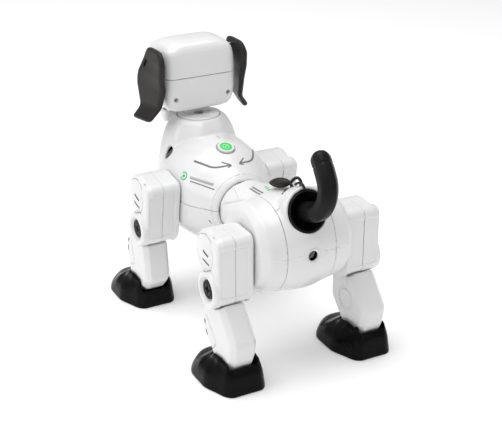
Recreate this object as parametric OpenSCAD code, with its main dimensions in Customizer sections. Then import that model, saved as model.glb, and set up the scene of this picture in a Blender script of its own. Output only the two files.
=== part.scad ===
// Walking robot dog toy, standing on four shoes. It faces -Y, its left side is +X, +Z is up.
// The origin is on the ground under the middle of its length.

/* [Body] */
// Height of the hip and shoulder axes above the ground
hip_z = 129; // [125:0.5:133]
// Distance of the hip axis behind the origin
hip_y = 88; // [84:0.5:92]
// Distance of the shoulder axis in front of the origin
shoulder_y = 69; // [66:0.5:72]
// Half of the body's width between the legs
body_half = 50; // [48:0.5:51]
// Thickness of the moulded shells
wall = 2.4; // [1.6:0.1:3]
// Radius of the ball at the waist
waist_r = 26.5; // [24:0.5:28]

/* [Legs] */
// Radius of the thigh around the hub
hub_r = 22.5; // [20:0.5:24]
// Radius of the thigh around the knee
knee_r = 19; // [18:0.5:20]
// Distance from the hub axis to the knee axis
thigh_len = 35; // [33:0.5:37]
// Distance from the knee axis to the ankle axis
shank_len = 71.8; // [70:0.1:74]
// Distance from the body's middle to the outside of the hub caps
leg_reach = 90; // [89.5:0.5:92]
// Length of a shoe
shoe_len = 82; // [76:1:86]
// Width of a shoe at the toes
shoe_w = 62; // [54:1:64]

/* [Head] */
// Half of the head's width
head_half = 42; // [39:0.5:43]
// Height of the head's top above the ground
head_top = 275; // [270:1:282]
// Height of the seam between the head's shells
head_seam = 238; // [230:1:242]

/* [Tail] */
// Radius of the tail
tail_r = 9; // [7:0.5:10]
// Outer radius of the tail cup
cup_r = 20; // [18:0.5:21]

/* [Fits] */
// Radial clearance of a shaft that turns in its bore
run_gap = 0.06; // [0.02:0.01:0.1]
// Gap between moving shells
part_gap = 0.5; // [0.3:0.1:0.8]

/* [Hidden] */
$fn = 64;
white = "#f2f2f0";
black = "#1d1d1f";
far = 400;

// Leg layers, measured outwards from the body's middle plane
thigh_in = body_half + 1;
thigh_mid = 70;
thigh_out = 88;
cheek_in = thigh_in + 3.5;
cheek_out = thigh_out - 3.5;
shank_in = 56;
shank_out = 86;
lobe_in = 57;
lobe_out = 83;
shank_x = (shank_in + shank_out) / 2;

// Leg joints, [y, z] from the joint above, and the lean of the front legs' parts
rear_knee = [10, -sqrt(thigh_len * thigh_len - 100)];
front_thigh_lean = -8.1;
front_shank_lean = -32;
ankle = [16, -sqrt(shank_len * shank_len - 256)];
ankle_z = hip_z + rear_knee.y + ankle.y;
shoulder_z = ankle_z - turned(rear_knee, front_thigh_lean).y - turned(ankle, front_shank_lean).y;

// Pins, shafts and what turns on them
shaft_r = 4;
knee_pin_r = 3;
knee_rim = 4;
knee_seat = 2;
screw_head_r = 9.5;
hub_cap_r = 17.2;
lobe_r = 15.5;
ankle_r = 15;
axle_r = shaft_r - 1;

// Shoe
shoe_back = 14;
shoe_gap = 1;
sole_wall = 6;
ankle_swing = 9;

// Rear body: [y, radius] along its length, and its middle barrel's width
rear_z = 128;
rear_profile = [[8, 25.5], [25, 30], [43, 35.5], [63, 42.5], [82, 47.5], [97, 49], [110, 47],
                [122, 41], [131, 30], [137, 12]];
barrel_y = 90;
barrel_r = 46;
middle_half = 26;
saddle_z = 150;
saddle_y = 112;

// Recess and screw at the back of the rump
rump_hole_r = 4;
rump_hole_z = 126;
rump_seat_y = 117;
screw_r = 1.5;

// Tail cup and tail
cup_c = [0, 124, 166];
cup_tilt = 19;
cup_depth = 20;
cup_taper = 6;
cup_rim = 3;
tail_root_r = 4.5;
tail_path = [[0, 131, 168.5], [-1, 143, 173], [-3, 151.5, 184], [-5, 151.5, 198], [-6, 143.5, 211],
             [-8, 129.5, 224]];

// Plug of the charging socket
plug_y = 84;
plug_z = 182;
plug_rise = 12;
plug_hinge = [99, 180.8];
plug_pin_r = 0.8;

// Waist pivot
waist_pin_r = 6;
waist_disc_r = 11;

// Front body: [y, radius] along its length, and [radius, z] of its collar
front_z = 124;
front_profile = [[0, 28.5], [-13, 38], [-28, 48], [-42, 53.5], [-60, 56], [-80, 56], [-98, 52],
                 [-113, 44], [-125, 30], [-131, 10]];
collar_y = -99;
collar_profile = [[44, 140], [41, 162], [37, 178], [32, 189], [26, 194]];
seam_z = 124;

// Touch button and side windows
button_c = [0, -37, 176];
button_tilt = 19;
button_r = 8.5;
sensor_c = [38.9, -88, 159.1];
sensor_r = 7;

// Boxes inside the body
gearbox_half = 34;
cell_r = 8.5;
cell_z = 112;
board = [52, 48, 1.6];
speaker_r = 14;
switch_y = -58;

// Neck and the head's hinge
neck_r = 12;
neck_flange_r = 22;
fork_half = 13;
fork_slot = 9;
tilt_y = -108;
tilt_z = 214;
tilt_pin_r = 3;

// Head: outlines seen from the front and from the side, with each corner's radius
head_back = -88;
head_front = -148;
muzzle_half = 24;
jaw_half = 20;
nose_c = [0, -153, 220];
nose_r = 6;
skull_front = [[-head_half, 202, 16], [head_half, 202, 16], [head_half - 3, head_top, 20],
               [3 - head_half, head_top, 20]];
skull_side = [[head_back, 202, 10], [head_back - 2, head_top, 18], [-125, head_top - 2, 40],
              [head_front, head_top - 17, 26], [head_front, 205, 16]];
muzzle_side = [[-120, 188, 4], [-120, 226, 4], [-150, 224, 12], [-156, 192, 10]];
jaw_side = [[-141, 172, 7], [-141, 187.4, 2], [-155, 187.4, 2], [-154, 174, 5]];
visor_half = 34;
visor_low = 222;
visor_high = 258;
head_screw_x = 30;
head_screw_z = 216;
head_screw_r = 1;
recess_r = 2.2;

// Ears: outline seen from the side, and section seen from the front
ear_side = [[-97, 274, 14], [-80, 258, 16], [-87, 226, 30], [-101, 192, 8], [-131, 188, 6],
            [-128, 204, 10], [-133, 238, 26], [-120, 268, 18]];
ear_edge = [[43.5, 267, 2], [48, 269.5, 3], [55, 243, 30], [55.5, 207, 10], [64, 195, 3],
            [59, 190, 3], [49, 207, 12], [48.5, 238, 20], [44, 256, 4]];
ear_pin_y = -108;
ear_pin_z = 262;
ear_pin_r = 2;

// Unit vector along v
function unit(v) = v / norm(v);

// Points of a circular arc that rounds the corner b between its neighbours a and c
function corner(a, b, c, r, steps) =
    let (p = [b.x, b.y], u = unit([a.x, a.y] - p), v = unit([c.x, c.y] - p))
    let (half = acos(u * v) / 2, m = p + unit(u + v) * r / sin(half))
    let (s = p + u * r / tan(half) - m, e = p + v * r / tan(half) - m)
    let (a0 = atan2(s.y, s.x), turn = (atan2(e.y, e.x) - a0 + 540) % 360 - 180)
    [for (i = [0 : steps]) m + r * [cos(a0 + turn * i / steps), sin(a0 + turn * i / steps)]];

// An outline whose corners are rounded; each point is [x, y, corner radius]
function rounded(pts, steps = 5) =
    let (n = len(pts))
    [for (i = [0 : n - 1]) each corner(pts[(i + n - 1) % n], pts[i], pts[(i + 1) % n], pts[i].z,
                                        steps)];

// Extrudes an outline in Y and Z along +X from x0 to x1
module side_slab(pts, x0, x1) {
    translate([x0, 0, 0]) rotate([90, 0, 90]) linear_extrude(x1 - x0) polygon(pts);
}

// A rod along X from x0 to x1 on the axis through [y, z]
module x_rod(r, x0, x1, y = 0, z = 0) {
    translate([x0, y, z]) rotate([0, 90, 0]) cylinder(r = r, h = x1 - x0);
}

// A solid of revolution about the axis parallel to Y at height z0; the profile is [y, radius]
// from one end to the other, and t makes it smaller by a wall's thickness
module y_turned(profile, z0, t = 0) {
    last = len(profile) - 1;
    way = sign(profile[last].x - profile[0].x);
    first_y = profile[0].x + way * t;
    last_y = profile[last].x - way * t;
    ring = [for (i = [0 : last])
        [profile[i].y - t, i == 0 ? first_y : i == last ? last_y : profile[i].x]];
    translate([0, 0, z0]) rotate([-90, 0, 0]) rotate_extrude()
        polygon([[0, first_y], each ring, [0, last_y]]);
}

// A solid of revolution about the vertical axis at y0; the profile is [radius, z], upwards
module z_turned(profile, y0, t = 0) {
    last = len(profile) - 1;
    top = profile[last].y - t;
    ring = [for (i = [0 : last]) [profile[i].x - t, i == last ? top : profile[i].y]];
    translate([0, y0, 0]) rotate_extrude() polygon([[0, profile[0].y], each ring, [0, top]]);
}

// A rod along Y from y0 to y1 at [x, z]
module y_rod(r, y0, y1, x = 0, z = 0) {
    translate([x, y0, z]) rotate([-90, 0, 0]) cylinder(r = r, h = y1 - y0);
}

// A box between two opposite corners
module block(a, b) {
    translate(a) cube(b - a);
}

// ---- Rear body ----

// Places a child on the tail cup's axis, with +Z pointing out of the cup
module on_cup() {
    translate(cup_c) rotate([cup_tilt - 90, 0, 0]) children();
}

// Outer form of the rear body, or of its hollow when t is the wall's thickness
module rear_form(t = 0) {
    intersection() {
        union() {
            y_turned(rear_profile, rear_z, t);
            translate([0, barrel_y, rear_z - 3]) rotate([0, 90, 0]) rotate_extrude()
                polygon([[0, t - body_half], [38 - t, t - body_half], [43 - t, t - 42],
                         [barrel_r - t, -28], [barrel_r - t, 28], [43 - t, 42 - t],
                         [38 - t, body_half - t], [0, body_half - t]]);
        }
        block([t - body_half, -far, -far], [body_half - t, far, far]);
    }
}

// The round neck that turns in the front body's rim
module waist_neck(t = 0) {
    y_turned([[-8, waist_r - 2.5], [-3, waist_r - 0.6], [3, waist_r], [16, waist_r]], front_z, t);
}

// Shell of the rear body with its bores and its seat for the tail cup
module rear_shell() {
    difference() {
        union() {
            difference() {
                union() {
                    rear_form();
                    waist_neck();
                }
                rear_form(wall);
                waist_neck(wall);
                y_rod(waist_r - wall, 10, 30, 0, front_z);
            }
            on_cup() translate([0, 0, -16]) cylinder(r = cup_r + cup_rim, h = 18);
            y_rod(7, rump_seat_y - 14, rump_seat_y + 18, 0, rump_hole_z);
            block([-1.5, plug_hinge.x - 1.5, plug_hinge.y - 9],
                  [1.5, plug_hinge.x + 1.5, plug_hinge.y + 1.4]);
        }
        on_cup() {
            translate([0, 0, cup_taper - cup_depth]) cylinder(r = cup_r + 0.3, h = far);
            translate([0, 0, -cup_depth - 2])
                cylinder(r1 = cup_r - cup_taper, r2 = cup_r + 0.3, h = cup_taper + 2);
        }
        x_rod(shaft_r + run_gap, -far, far, hip_y, hip_z);
        y_rod(waist_pin_r, -far, 40, 0, front_z);
        y_rod(rump_hole_r, rump_seat_y, far, 0, rump_hole_z);
        y_rod(screw_r + 0.02, rump_seat_y - 20, rump_seat_y + 1, 0, rump_hole_z);
        x_rod(plug_pin_r + run_gap, -3, 3, plug_hinge.x, plug_hinge.y);
    }
}

// The part of the middle covers that the saddle takes: the top, ahead of the tail cup
module saddle_zone() {
    block([-far, -far, saddle_z], [far, saddle_y, far]);
}

module saddle_cover() {
    color(white) intersection() {
        rear_shell();
        saddle_zone();
        block([-middle_half, -far, -far], [middle_half, far, far]);
    }
}

module rump_cover() {
    color(white) difference() {
        intersection() {
            rear_shell();
            block([-middle_half, -far, -far], [middle_half, far, far]);
        }
        saddle_zone();
    }
}

module left_hip_cover() {
    color(white) intersection() {
        rear_shell();
        block([middle_half, -far, -far], [far, far, far]);
    }
}

module right_hip_cover() {
    mirror([1, 0, 0]) left_hip_cover();
}

// Cone-shaped cup that the tail turns in
module tail_socket() {
    color(black) on_cup() rotate_extrude() polygon([
        [tail_root_r + run_gap, -cup_depth], [cup_r + 1 - cup_taper, -cup_depth],
        [cup_r, cup_taper - cup_depth], [cup_r, 4], [cup_r - 1.8, 4], [tail_r + 1, -12],
        [tail_root_r + run_gap, -12]
    ]);
}

// J-shaped tail on a round root that turns in the cup
module tail() {
    color(black) {
        on_cup() translate([0, 0, -11]) cylinder(r = tail_r - 1, h = 18);
        on_cup() translate([0, 0, -24]) cylinder(r = tail_root_r, h = 14);
        for (i = [0 : len(tail_path) - 2]) hull() {
            translate(tail_path[i]) sphere(r = tail_r, $fn = 28);
            translate(tail_path[i + 1]) sphere(r = tail_r, $fn = 28);
        }
    }
}

// Rubber plug of the charging socket, on a short strap ahead of the tail cup
module port_plug() {
    color(black) {
        translate([0, plug_y, plug_z]) rotate([plug_rise - 90, 0, 0]) rotate_extrude()
            polygon([[0, -17], [3, -14], [5, -8], [5.6, 0], [4.8, 7], [2.6, 11], [0, 12]]);
        for (s = [-1, 1]) {
            side_slab([[plug_y + 7, plug_z - 1], [plug_hinge.x + 1, plug_hinge.y - 1.4],
                       [plug_hinge.x + 1.4, plug_hinge.y + 1.4], [plug_y + 7, plug_z + 3]],
                      s > 0 ? 1.8 : -3.4, s > 0 ? 3.4 : -1.8);
        }
        x_rod(plug_pin_r, -2.6, 2.6, plug_hinge.x, plug_hinge.y);
    }
}

module rear_gearbox() {
    color("dimgray") difference() {
        block([-gearbox_half, hip_y - 18, hip_z - 16], [gearbox_half, hip_y + 12, hip_z + 14]);
        x_rod(shaft_r + run_gap, -far, far, hip_y, hip_z);
    }
}

module battery_pack() {
    color("royalblue") for (x = [-10, 10]) y_rod(cell_r, 34, 68, x, cell_z);
}

// Self-tapping screw at the bottom of the rump's recess
module rump_screw() {
    color("silver") {
        y_rod(screw_r, rump_seat_y - 11, rump_seat_y + 0.5, 0, rump_hole_z);
        y_rod(3.4, rump_seat_y, rump_seat_y + 2.4, 0, rump_hole_z);
    }
}

// Hollow pivot that holds the two halves of the body together
module waist_pivot() {
    color("silver") difference() {
        union() {
            y_rod(waist_disc_r, -20, -17, 0, front_z);
            y_rod(waist_pin_r, -17, -4, 0, front_z);
            y_rod(waist_disc_r, -8 + wall, -5 + wall, 0, front_z);
        }
        y_rod(waist_pin_r - 2, -30, 10, 0, front_z);
    }
}

// ---- Front body ----

// Outer form of the front body and its collar, or of its hollow
module front_form(t = 0) {
    intersection() {
        union() {
            y_turned(front_profile, front_z, t);
            z_turned(collar_profile, collar_y, t);
        }
        block([t - body_half, -far, -far], [body_half - t, far, far]);
    }
}

module front_shell() {
    difference() {
        union() {
            difference() {
                front_form();
                front_form(wall);
            }
            intersection() {
                y_rod(60, -16.4, -14, 0, front_z);
                front_form(wall / 2);
            }
            intersection() {
                z_turned([[40, 174], [40, 180]], collar_y);
                front_form(wall / 2);
            }
        }
        y_rod(waist_r + part_gap, -9, far, 0, front_z);
        y_rod(waist_pin_r + run_gap, -far, 0, 0, front_z);
        x_rod(shaft_r + run_gap, -far, far, -shoulder_y, shoulder_z);
        translate([0, collar_y, 150]) cylinder(r = neck_r + run_gap, h = 60);
        translate([0, collar_y, 180]) cylinder(r = neck_flange_r + part_gap, h = 30);
        at_button() cylinder(r = button_r + 0.25, h = 30, center = true);
        at_sensors() cylinder(r = sensor_r + 0.05, h = 12, center = true);
        block([-4, switch_y - 4, 0], [4, switch_y + 8, 90]);
    }
}

module chest_top_shell() {
    color(white) intersection() {
        front_shell();
        block([-far, -far, seam_z], [far, far, far]);
    }
}

module chest_bottom_shell() {
    color(white) intersection() {
        front_shell();
        block([-far, -far, -far], [far, far, seam_z]);
    }
}

// Places a child on the touch button's axis
module at_button() {
    translate(button_c) rotate([-button_tilt, 0, 0]) children();
}

module touch_button() {
    color("limegreen") at_button() {
        translate([0, 0, -4]) cylinder(r = button_r, h = 5);
        translate([0, 0, -5.5]) cylinder(r = button_r + 2, h = 1.5);
    }
}

// Places a child on both of the dark windows' axes
module at_sensors() {
    for (s = [-1, 1]) translate([s * sensor_c.x, sensor_c.y, sensor_c.z])
        rotate([14, s * 50, 0]) children();
}

module sensor_windows() {
    color(black) at_sensors() translate([0, 0, -3]) cylinder(r = sensor_r, h = 4);
}

module front_gearbox() {
    color("dimgray") difference() {
        block([-gearbox_half, -shoulder_y - 14, shoulder_z - 16],
              [gearbox_half, -shoulder_y + 16, shoulder_z + 14]);
        x_rod(shaft_r + run_gap, -far, far, -shoulder_y, shoulder_z);
    }
}

module main_board() {
    color("seagreen") translate([-board.x / 2, -88, 148]) cube(board);
}

module speaker() {
    color("dimgray") translate([0, -88, 84]) {
        cylinder(r = speaker_r, h = 3);
        translate([0, 0, 3]) cylinder(r = speaker_r - 6, h = 7);
    }
}

module power_switch() {
    color(black) {
        block([-2.5, switch_y - 2.5, 64], [2.5, switch_y + 2.5, 72]);
        block([-6, switch_y - 3.5, 72], [6, switch_y + 3.5, 74]);
    }
}

// Neck that turns in the collar and carries the head's hinge
module neck_post() {
    color(white) difference() {
        union() {
            translate([0, collar_y, 168]) cylinder(r = neck_r + 3, h = 3);
            translate([0, collar_y, 168]) cylinder(r = neck_r, h = 20);
            translate([0, collar_y, 180.4]) cylinder(r = neck_flange_r, h = 16);
            block([-fork_half, tilt_y - 8, 196], [fork_half, tilt_y + 8, tilt_z]);
            x_rod(8, -fork_half, fork_half, tilt_y, tilt_z);
        }
        translate([0, collar_y, 160]) cylinder(r = 5, h = 34);
        block([-fork_slot, tilt_y - 9, 202.5], [fork_slot, tilt_y + 9, tilt_z + 9]);
        x_rod(tilt_pin_r + run_gap, -far, far, tilt_y, tilt_z);
    }
}

// ---- Head ----

// Outer form of the skull, or of its hollow
module skull_form(t = 0) {
    intersection() {
        side_slab(rounded([for (p = skull_side) [p.x + t * sign(-120 - p.x),
            p.y + t * sign(240 - p.y), max(p.z - t, 1)]]), t - head_half, head_half - t);
        translate([0, far, 0]) rotate([90, 0, 0]) linear_extrude(2 * far)
            polygon(rounded([for (p = skull_front) [p.x - t * sign(p.x), p.y + t * sign(240 - p.y),
                max(p.z - t, 1)]]));
    }
}

// Muzzle below the visor
module muzzle_form(t = 0) {
    side_slab(rounded([for (p = muzzle_side) [p.x + t * sign(-140 - p.x), p.y + t * sign(207 - p.y),
        max(p.z - t, 1)]]), t - muzzle_half, muzzle_half - t);
}

module head_shell() {
    difference() {
        union() {
            skull_form();
            muzzle_form();
        }
        skull_form(wall);
        muzzle_form(wall);
        z_turned([[50, 140], [45, 168], [41, 182], [36, 193], [31, 199], [28, 206]], collar_y);
        visor_space(0);
        block([-14, -159, 183], [14, -115, 195]);
        x_rod(ear_pin_r + 0.02, -far, far, ear_pin_y, ear_pin_z);
        translate(nose_c) sphere(r = nose_r + 0.05);
        for (s = [-1, 1])
            y_rod(recess_r, head_back - 8, head_back + 1, s * head_screw_x, head_screw_z);
    }
    for (s = [-1, 1]) difference() {
        y_rod(4, head_back - 12.8, head_back - wall + 0.5, s * head_screw_x, head_screw_z);
        y_rod(recess_r, head_back - 8, head_back + 1, s * head_screw_x, head_screw_z);
        y_rod(head_screw_r + 0.02, head_back - 20, head_back, s * head_screw_x, head_screw_z);
    }
    for (s = [0, 1]) mirror([s, 0, 0])
        block([fork_half + 0.4, tilt_y - 7, tilt_z - 7], [head_half - wall + 1, tilt_y + 7, tilt_z + 7]);
}

module head_top_shell() {
    color(white) intersection() {
        head_shell();
        block([-far, -far, head_seam], [far, far, far]);
    }
}

module head_bottom_shell() {
    color(white) {
        intersection() {
            head_shell();
            block([-far, -far, -far], [far, far, head_seam]);
        }
        for (s = [0, 1]) mirror([s, 0, 0]) x_rod(tilt_pin_r, fork_slot + 0.5, 16, tilt_y, tilt_z);
    }
}

// Space of the dark face panel, grown by t
module visor_space(t) {
    block([-visor_half - t, -far, visor_low - t], [visor_half + t, -140, visor_high + t]);
}

module eye_visor() {
    color(black) intersection() {
        visor_space(-0.1);
        difference() {
            skull_form(0.6);
            skull_form(wall + 0.6);
        }
    }
}

module head_screws() {
    color("silver") for (s = [-1, 1]) {
        y_rod(head_screw_r, head_back - 12.6, head_back - 7.5, s * head_screw_x, head_screw_z);
        y_rod(recess_r - 0.1, head_back - 8, head_back - 6.6, s * head_screw_x, head_screw_z);
    }
}

module eye_lights() {
    color("deepskyblue") for (s = [-1, 1]) y_rod(6, head_front + 4.4, head_front + 7, s * 16, 238);
}

module nose() {
    color(black) translate(nose_c) sphere(r = nose_r);
}

module jaw() {
    color(white) difference() {
        side_slab(rounded(jaw_side), -jaw_half, jaw_half);
        block([-jaw_half + wall, -152, 178], [jaw_half - wall, -143, 200]);
    }
}

module tongue() {
    color("hotpink") side_slab(rounded([[-152.5, 187.5, 1], [-152.5, 190, 1], [-158, 190, 1.2],
                                        [-158, 187.5, 1]]), -7, 7);
}

module ear_left() {
    color(black) difference() {
        intersection() {
            side_slab(rounded(ear_side), 30, 80);
            rotate([90, 0, 0]) translate([0, 0, -far]) linear_extrude(2 * far)
                polygon(rounded(ear_edge));
        }
        x_rod(ear_pin_r + 0.02, 0, 48.5, ear_pin_y, ear_pin_z);
    }
}

module ear_right() {
    mirror([1, 0, 0]) ear_left();
}

module ear_pins() {
    color("silver") for (s = [0, 1]) mirror([s, 0, 0]) x_rod(ear_pin_r, 34, 48, ear_pin_y, ear_pin_z);
}

// ---- Legs ----

// Places a leg's thigh part: hub axis along X through the origin, knee below
module thigh_place(front, side) {
    mirror([side > 0 ? 0 : 1, 0, 0])
        translate([0, front ? -shoulder_y : hip_y, front ? shoulder_z : hip_z])
            rotate([front ? front_thigh_lean : 0, 0, 0]) children();
}

// Places a leg's shank part: knee axis along X through the origin, ankle below
module shank_place(front, side) {
    lean = front ? front_shank_lean : 0;
    mirror([side > 0 ? 0 : 1, 0, 0]) translate(concat([0], knee_at(front)))
        rotate([lean, 0, 0]) children();
}

// Places a leg's shoe: ankle axis along X through the origin
module shoe_place(front, side) {
    mirror([side > 0 ? 0 : 1, 0, 0]) translate(concat([0], ankle_at(front))) children();
}

// Turns a point [y, z] by an angle about X
function turned(p, a) = [p.x * cos(a) - p.y * sin(a), p.x * sin(a) + p.y * cos(a)];
function knee_at(front) = front
    ? [-shoulder_y, shoulder_z] + turned(rear_knee, front_thigh_lean)
    : [hip_y, hip_z] + rear_knee;
function ankle_at(front) = knee_at(front) + turned(ankle, front ? front_shank_lean : 0);

module thigh_shell() {
    k = rear_knee;
    difference() {
        union() {
            side_slab(rounded([[-32, hub_r, hub_r - 1], [29, hub_r - 1, 9], [29, k.y - knee_r, 15],
                               [-3, k.y - knee_r, 17]]), thigh_in, thigh_out - 6);
            x_rod(hub_r - 1.5, thigh_out - 6, thigh_out);
            x_rod(knee_r - 1.5, thigh_out - 6, thigh_out + knee_rim, k.x, k.y);
            side_slab(rounded([[8, hub_r - 4, 5], [27, hub_r - 4, 6], [27, k.y - knee_r + 2, 13],
                               [8, k.y - knee_r + 2, 5]]), thigh_out - 6, thigh_out - 1);
        }
        side_slab(rounded([[-27, hub_r - 3, hub_r - 4], [26, hub_r - 4, 7],
                           [26, k.y - knee_r - 9, 3], [-6, k.y - knee_r - 9, 3]]),
                  cheek_in, cheek_out);
        x_rod(shaft_r, 0, 80);
        x_rod(knee_pin_r + 0.02, 0, far, k.x, k.y);
        x_rod(screw_head_r + 1, thigh_out + knee_seat, far, k.x, k.y);
    }
    difference() {
        x_rod(9, cheek_in - 0.5, cheek_out + 0.5);
        x_rod(shaft_r, 0, 80);
    }
}

module thigh_outer(front, side) {
    color(white) thigh_place(front, side) intersection() {
        thigh_shell();
        block([thigh_mid, -far, -far], [far, far, far]);
    }
}

module thigh_inner(front, side) {
    color(white) thigh_place(front, side) intersection() {
        thigh_shell();
        block([0, -far, -far], [thigh_mid, far, far]);
    }
}

module hub_cap(front, side) {
    color(white) thigh_place(front, side) translate([thigh_out, 0, 0]) rotate([0, 90, 0])
        rotate_extrude() polygon([[0, 0], [hub_cap_r, 0], [hub_cap_r, 0.8], [hub_cap_r - 1, 1.5],
                                  [0, leg_reach - thigh_out]]);
}

module hip_shaft(front, side) {
    color("silver") thigh_place(front, side) x_rod(shaft_r, 14, 79);
}

// Shoulder screw of the knee; its dark head fills the knee's recess
module knee_screw(front, side) {
    color(black) thigh_place(front, side) difference() {
        union() {
            x_rod(knee_pin_r, thigh_in + 1, thigh_out + knee_seat, rear_knee.x, rear_knee.y);
            x_rod(screw_head_r, thigh_out + knee_seat, thigh_out + knee_rim - 0.4, rear_knee.x,
                  rear_knee.y);
        }
        for (a = [0, 90]) translate([thigh_out + knee_seat + 0.8, rear_knee.x, rear_knee.y])
            rotate([a, 0, 0]) block([0, -4, -0.8], [5, 4, 0.8]);
    }
}

// Side outline of the shank about the knee
function shank_outline(t = 0) = rounded([
    [-21 - t, -14 + t, 5 + t], [-20 - t, -48, 12 + t], [-12 - t, -60 - t, 6 + t],
    [1 - t, ankle.y - 3 - t, 12 + t], [ankle.x, ankle.y - ankle_r - 3 - t, 15 + t],
    [ankle.x + 16 + t, ankle.y - 5 - t, 12 + t], [38 + t, -62 - t, 6 + t], [42 + t, -44, 12 + t],
    [16 + t, -12 + t, 5 + t]
]);

module shank_form() {
    intersection() {
        side_slab(shank_outline(), shank_in, shank_out);
        union() {
            block([0, -far, -far], [far, far, -58]);
            difference() {
                block([0, -far, -60], [far, far, far]);
                x_rod(knee_r + 2.2, 0, far);
            }
        }
    }
}

module shank(front, side) {
    color(white) shank_place(front, side) difference() {
        union() {
            shank_form();
            x_rod(lobe_r, lobe_in, lobe_out);
            side_slab([[0, 0], [-12, -26], [12, -26]], lobe_in, lobe_out);
        }
        x_rod(knee_pin_r + run_gap, 0, far);
        x_rod(axle_r + run_gap, 0, far, ankle.x, ankle.y);
        side_slab(rounded([[-13, -30, 4], [-14, -46, 8], [-6, -57, 4], [30, -57, 4], [35, -44, 8],
                           [18, -26, 6]]), shank_in - 1, shank_out - 3);
    }
}

// Shoe with a pocket for the shank and the ankle's axle moulded in
module shoe(front, side) {
    half_l = shoe_len / 2;
    half_w = shoe_w / 2;
    inner_w = half_w - sole_wall;
    lean = front ? front_shank_lean : 0;
    color(black) shoe_place(front, side) {
        difference() {
            translate([shank_x, -shoe_back, -ankle_z]) intersection() {
                linear_extrude(40) polygon(rounded([
                    [-17, half_l - 1, 4], [17, half_l - 1, 4], [half_w, 12, 20],
                    [half_w - 1, 18 - half_l, 24], [12, -half_l, 24], [-12, -half_l, 24],
                    [1 - half_w, 18 - half_l, 24], [-half_w, 12, 20]
                ]));
                side_slab(rounded([[-half_l, 0, 3], [-half_l, 14, 8], [-24, 23, 12], [-15, 25, 3],
                                   [-10, 32, 4], [half_l, 34, 4], [half_l, 0, 2]]), -half_w, half_w);
            }
            translate([shank_x, -shoe_back, -ankle_z - 1]) linear_extrude(7.5) polygon(rounded([
                [-12, half_l - sole_wall, 4], [12, half_l - sole_wall, 4], [inner_w, 10, 16],
                [inner_w, 20 - half_l, 18], [10, sole_wall - half_l, 16],
                [-10, sole_wall - half_l, 16], [-inner_w, 20 - half_l, 18], [-inner_w, 10, 16]]));
            for (a = [lean - ankle_swing, lean, lean + ankle_swing]) rotate([a, 0, 0])
                translate([0, -ankle.x, -ankle.y])
                side_slab(shank_outline(shoe_gap), shank_in - shoe_gap, shank_out + shoe_gap);
            x_rod(ankle_r + 0.6, shank_in - 0.6, shank_out + 0.6);
            block([shank_in - 0.6, -ankle_r, 0], [shank_out + 0.6, ankle_r, 20]);
        }
        x_rod(axle_r, shank_in - 4, shank_out + 4);
    }
}

saddle_cover();
rump_cover();
left_hip_cover();
right_hip_cover();
tail_socket();
tail();
port_plug();
rear_gearbox();
battery_pack();
rump_screw();
waist_pivot();
chest_top_shell();
chest_bottom_shell();
touch_button();
sensor_windows();
front_gearbox();
main_board();
speaker();
power_switch();
neck_post();
head_top_shell();
head_bottom_shell();
head_screws();
eye_visor();
eye_lights();
nose();
jaw();
tongue();
ear_left();
ear_right();
ear_pins();
thigh_outer(true, 1);  // front_left_thigh_outer
thigh_inner(true, 1);  // front_left_thigh_inner
hub_cap(true, 1);  // front_left_hub_cap
hip_shaft(true, 1);  // front_left_hip_shaft
knee_screw(true, 1);  // front_left_knee_screw
shank(true, 1);  // front_left_shank
shoe(true, 1);  // front_left_shoe
thigh_outer(true, -1);  // front_right_thigh_outer
thigh_inner(true, -1);  // front_right_thigh_inner
hub_cap(true, -1);  // front_right_hub_cap
hip_shaft(true, -1);  // front_right_hip_shaft
knee_screw(true, -1);  // front_right_knee_screw
shank(true, -1);  // front_right_shank
shoe(true, -1);  // front_right_shoe
thigh_outer(false, 1);  // rear_left_thigh_outer
thigh_inner(false, 1);  // rear_left_thigh_inner
hub_cap(false, 1);  // rear_left_hub_cap
hip_shaft(false, 1);  // rear_left_hip_shaft
knee_screw(false, 1);  // rear_left_knee_screw
shank(false, 1);  // rear_left_shank
shoe(false, 1);  // rear_left_shoe
thigh_outer(false, -1);  // rear_right_thigh_outer
thigh_inner(false, -1);  // rear_right_thigh_inner
hub_cap(false, -1);  // rear_right_hub_cap
hip_shaft(false, -1);  // rear_right_hip_shaft
knee_screw(false, -1);  // rear_right_knee_screw
shank(false, -1);  // rear_right_shank
shoe(false, -1);  // rear_right_shoe
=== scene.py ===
"""Looks of a walking robot dog toy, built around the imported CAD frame.

The shells are signed distance shapes in millimetres, meshed by skin(). They use the same outlines
and places as the CAD nodes that they stand for.
"""

import math

import bpy
import numpy as np
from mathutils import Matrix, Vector


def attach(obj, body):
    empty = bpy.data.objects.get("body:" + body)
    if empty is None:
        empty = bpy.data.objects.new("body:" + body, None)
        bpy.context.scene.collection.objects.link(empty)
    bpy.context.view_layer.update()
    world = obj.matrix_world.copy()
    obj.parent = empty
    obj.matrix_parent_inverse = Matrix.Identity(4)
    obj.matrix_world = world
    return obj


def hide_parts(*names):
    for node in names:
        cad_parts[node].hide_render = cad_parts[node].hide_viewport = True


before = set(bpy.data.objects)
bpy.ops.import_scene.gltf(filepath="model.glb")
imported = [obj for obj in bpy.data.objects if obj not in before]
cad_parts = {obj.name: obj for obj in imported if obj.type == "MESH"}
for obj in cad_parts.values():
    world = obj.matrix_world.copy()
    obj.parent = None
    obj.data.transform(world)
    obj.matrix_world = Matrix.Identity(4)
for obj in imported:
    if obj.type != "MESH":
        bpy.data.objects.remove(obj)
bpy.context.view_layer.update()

MM = 0.001

# ---------------------------------------------------------------- driving sizes, in millimetres

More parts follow.
